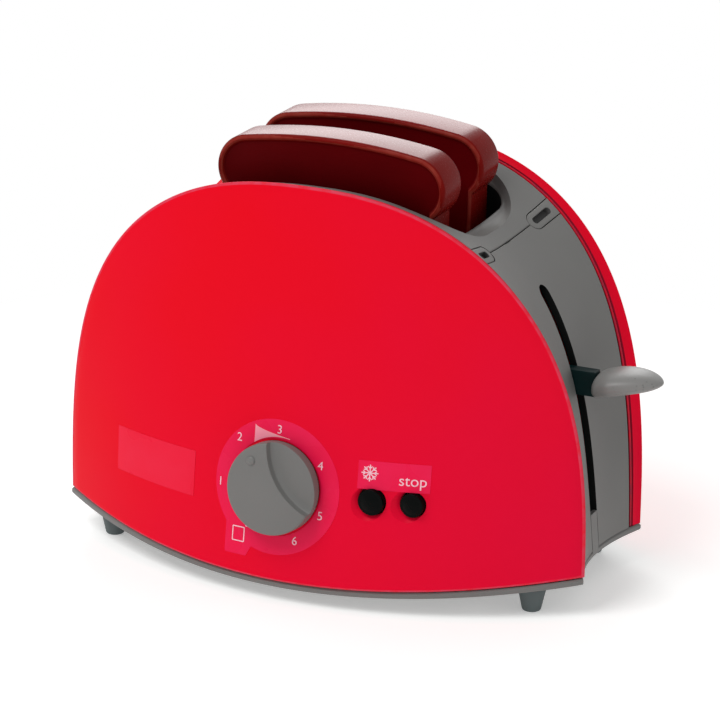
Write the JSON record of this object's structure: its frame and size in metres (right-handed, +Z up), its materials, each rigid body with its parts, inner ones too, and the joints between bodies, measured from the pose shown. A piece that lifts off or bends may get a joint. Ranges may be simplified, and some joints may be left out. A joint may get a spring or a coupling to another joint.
{
  "type": "toy toaster",
  "caption": "Play pop-up toaster with bowed panels between hollow-sided covers, a side lever, a timer dial, push buttons and lift-out toast slices.",
  "frame": {"origin": "under the middle of the toaster's bounding box, on the surface that its feet stand on", "axes": "+X towards the lever, +Y from the dial side to the back, +Z up"},
  "size_m": [0.1994, 0.1238, 0.1465],
  "materials": {
    "red_plastic": "gloss",
    "grey_plastic": "satin",
    "lever_plastic": "satin",
    "foot_plastic": "matte",
    "dark_plastic": "matte",
    "pale_plastic": "matte",
    "button_plastic": "gloss",
    "toast_plastic": "satin",
    "steel": "bright"
  },
  "bodies": {
    "casing": {"front_panel": "red_plastic", "rear_panel": "red_plastic", "top_cover": "grey_plastic", "end_cover_right": "grey_plastic", "end_cover_left": "grey_plastic", "base_tray": "grey_plastic", "cover_clip_front_left": "grey_plastic", "cover_clip_rear_left": "grey_plastic", "cover_clip_front_right": "grey_plastic", "cover_clip_rear_right": "grey_plastic", "foot_front_left": "foot_plastic", "foot_rear_left": "foot_plastic", "foot_front_right": "foot_plastic", "foot_rear_right": "foot_plastic", "guide_rod_left": "steel", "guide_rod_right": "steel", "lift_spring_left": "steel", "lift_spring_right": "steel", "base_screw_1": "steel", "base_screw_2": "steel", "base_screw_3": "steel", "base_screw_4": "steel", "base_screw_5": "steel", "base_screw_6": "steel", "base_screw_7": "steel", "base_screw_8": "steel", "timer_case": "pale_plastic", "timer_screw_1": "steel", "timer_screw_2": "steel", "rocker_pin": "steel", "defrost_spring": "steel", "latch_spring": "steel"},
    "carriage": {"toast_carriage": "dark_plastic", "lever_knob": "lever_plastic"},
    "slice_front": {"toast_slice_front": "toast_plastic"},
    "slice_rear": {"toast_slice_rear": "toast_plastic"},
    "dial": {"dial_knob": "grey_plastic", "dial_shaft": "steel"},
    "stop": {"stop_button": "button_plastic"},
    "defrost": {"defrost_button": "button_plastic"},
    "latch_rocker": {"latch": "pale_plastic"},
    "defrost_rocker_body": {"defrost_rocker": "pale_plastic"}
  },
  "joints": [
    {"name": "carriage_slide", "type": "slide", "parent": "casing", "child": "carriage", "axis": [0, 0, 1], "range_m": [-0.034, 0.024], "stiffness_N_per_m": 60, "springref_m": 0.0294, "deforming": ["lift_spring_left", "lift_spring_right"]},
    {"name": "slice_front_lift", "type": "slide", "parent": "carriage", "child": "slice_front", "axis": [0, 0, 1], "range_m": [0, 0.11]},
    {"name": "slice_rear_lift", "type": "slide", "parent": "carriage", "child": "slice_rear", "axis": [0, 0, 1], "range_m": [0, 0.11]},
    {"name": "dial_turn", "type": "hinge", "parent": "casing", "child": "dial", "pos_m": [-0.00924, -0.05326, 0.0385], "axis": [0, 0.99, -0.1413], "range_deg": [-114, 194]},
    {"name": "stop_button_press", "type": "slide", "parent": "casing", "child": "stop", "axis": [0, 1, 0], "range_m": [0, 0.0025], "stiffness_N_per_m": 200, "springref_m": -0.002},
    {"name": "defrost_button_press", "type": "slide", "parent": "casing", "child": "defrost", "axis": [0, 1, 0], "range_m": [0, 0.0025], "stiffness_N_per_m": 200, "springref_m": -0.002},
    {"name": "latch_turn", "type": "hinge", "parent": "casing", "child": "latch_rocker", "pos_m": [0.03506, -0.03084, 0.03], "axis": [-1, 0, 0], "range_deg": [0, 20.5], "deforming": ["latch_spring"]},
    {"name": "defrost_rocker_turn", "type": "hinge", "parent": "casing", "child": "defrost_rocker_body", "pos_m": [0.02226, -0.03084, 0.03], "axis": [-1, 0, 0], "range_deg": [0, 20.5], "deforming": ["defrost_spring"]}
  ],
  "couplings": [
    {"joint": "latch_turn", "follows": "stop_button_press", "rad_per_m": 142},
    {"joint": "defrost_rocker_turn", "follows": "defrost_button_press", "rad_per_m": 142}
  ]
}
